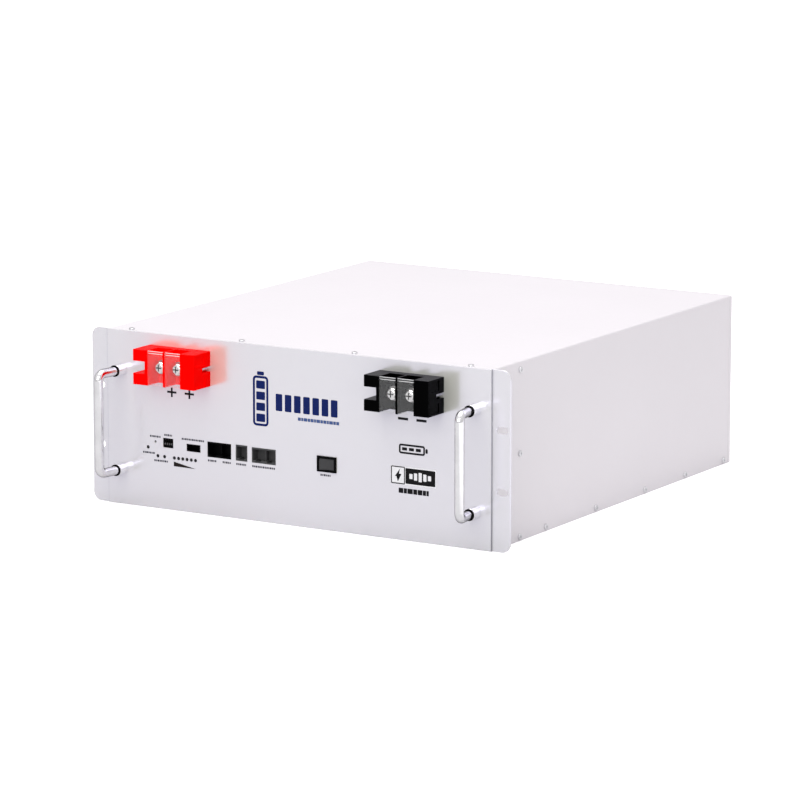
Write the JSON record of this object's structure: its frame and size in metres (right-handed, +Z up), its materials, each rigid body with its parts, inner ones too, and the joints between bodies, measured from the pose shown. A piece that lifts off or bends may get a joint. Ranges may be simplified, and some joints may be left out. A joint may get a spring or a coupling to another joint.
{
  "type": "server rack battery",
  "caption": "Rack-mount lithium battery box with end handles, covered power terminals, network sockets, status lights and a power switch.",
  "frame": {"origin": "on the underside, below the middle of the whole object's bounding box", "axes": "+Z up, -Y out of the front panel, +X to the right seen from the front"},
  "size_m": [0.4826, 0.5424, 0.1788],
  "materials": {
    "case_paint": "satin white powder coat",
    "panel_paint": "satin white powder coat on the front panel and ears",
    "handle_chrome": "polished chrome plate",
    "zinc_steel": "zinc-plated steel",
    "plated_screw": "bright nickel plate",
    "black_nylon": "matt black",
    "red_plastic": "moulded red",
    "black_plastic": "moulded black",
    "clear_plastic": "clear polycarbonate",
    "tinned_copper": "tinned copper",
    "copper": "bare copper",
    "socket_black": "moulded black",
    "socket_grey": "moulded dark grey",
    "rocker_grey": "moulded dark grey",
    "slider_grey": "moulded grey",
    "lens_smoke": "smoked lens",
    "circuit_board": "green solder mask",
    "cell_film": "blue film on an aluminium can",
    "aluminium": "mill finish",
    "insulation": "pale glass-fibre sheet",
    "fuse_body": "ceramic-coloured moulding",
    "red_cable": "red silicone sleeve",
    "black_cable": "black silicone sleeve"
  },
  "bodies": {
    "casing": {"bottom_tray": "case_paint", "top_cover": "case_paint", "rear_panel": "case_paint", "front_panel": "panel_paint", "rack_ear_left": "panel_paint", "rack_ear_right": "panel_paint", "cover_top_screws": "zinc_steel", "cover_side_screws": "zinc_steel", "rear_panel_screws": "zinc_steel", "handle_left": "handle_chrome", "handle_right": "handle_chrome", "handle_ferrules": "handle_chrome", "handle_washers": "black_nylon", "handle_screws": "zinc_steel", "positive_terminal_block": "red_plastic", "negative_terminal_block": "black_plastic", "terminal_posts": "tinned_copper", "terminal_washers": "zinc_steel", "terminal_screws": "plated_screw", "terminal_nuts": "zinc_steel", "terminal_link_bars": "copper", "block_fixings": "zinc_steel", "port_pair_left": "socket_black", "port_single": "socket_grey", "port_pair_right": "socket_grey", "test_socket": "socket_black", "address_switch": "socket_black", "reset_switch": "socket_black", "power_switch": "socket_black", "control_board": "circuit_board", "status_light_pipes": "lens_smoke", "cell_row_left": "cell_film", "cell_row_right": "cell_film", "cell_posts": "aluminium", "cell_busbars": "aluminium", "cell_separators": "insulation", "end_plate_front": "aluminium", "end_plate_rear": "aluminium", "module_straps": "zinc_steel", "module_brackets": "zinc_steel", "base_insulator": "insulation", "top_insulator": "insulation", "bms_board": "circuit_board", "bms_heat_sink": "aluminium", "board_posts": "zinc_steel", "main_fuse": "fuse_body", "module_link_bars": "copper", "sense_harness": "black_cable", "positive_cable": "red_cable", "negative_cable": "black_cable"},
    "positive_flap_left": {"positive_flap_left": "clear_plastic"},
    "positive_flap_right": {"positive_flap_right": "clear_plastic"},
    "negative_flap_left": {"negative_flap_left": "clear_plastic"},
    "negative_flap_right": {"negative_flap_right": "clear_plastic"},
    "rocker": {"power_rocker": "rocker_grey"},
    "reset": {"reset_button": "slider_grey"},
    "slider_1": {"address_slider_1": "slider_grey"},
    "slider_2": {"address_slider_2": "slider_grey"},
    "slider_3": {"address_slider_3": "slider_grey"},
    "slider_4": {"address_slider_4": "slider_grey"}
  },
  "joints": [
    {"name": "positive_flap_left_hinge", "type": "hinge", "parent": "casing", "child": "positive_flap_left", "pos_m": [-0.14385, -0.2591, 0.1635], "axis": [-1, 0, 0], "range_deg": [0, 100]},
    {"name": "positive_flap_right_hinge", "type": "hinge", "parent": "casing", "child": "positive_flap_right", "pos_m": [-0.12355, -0.2591, 0.1635], "axis": [-1, 0, 0], "range_deg": [0, 100]},
    {"name": "negative_flap_left_hinge", "type": "hinge", "parent": "casing", "child": "negative_flap_left", "pos_m": [0.12365, -0.2591, 0.1635], "axis": [-1, 0, 0], "range_deg": [0, 100]},
    {"name": "negative_flap_right_hinge", "type": "hinge", "parent": "casing", "child": "negative_flap_right", "pos_m": [0.14395, -0.2591, 0.1635], "axis": [-1, 0, 0], "range_deg": [0, 100]},
    {"name": "rocker_tilt", "type": "hinge", "parent": "casing", "child": "rocker", "pos_m": [0.03685, -0.2276, 0.0657], "axis": [0, 0, -1], "range_deg": [0, 18]},
    {"name": "reset_press", "type": "slide", "parent": "casing", "child": "reset", "axis": [0, 1, 0], "range_m": [0, 0.0006], "stiffness_N_per_m": 300},
    {"name": "slider_1_set", "type": "slide", "parent": "casing", "child": "slider_1", "axis": [0, 0, 1], "range_m": [0, 0.002]},
    {"name": "slider_2_set", "type": "slide", "parent": "casing", "child": "slider_2", "axis": [0, 0, 1], "range_m": [0, 0.002]},
    {"name": "slider_3_set", "type": "slide", "parent": "casing", "child": "slider_3", "axis": [0, 0, 1], "range_m": [0, 0.002]},
    {"name": "slider_4_set", "type": "slide", "parent": "casing", "child": "slider_4", "axis": [0, 0, 1], "range_m": [0, 0.002]}
  ]
}
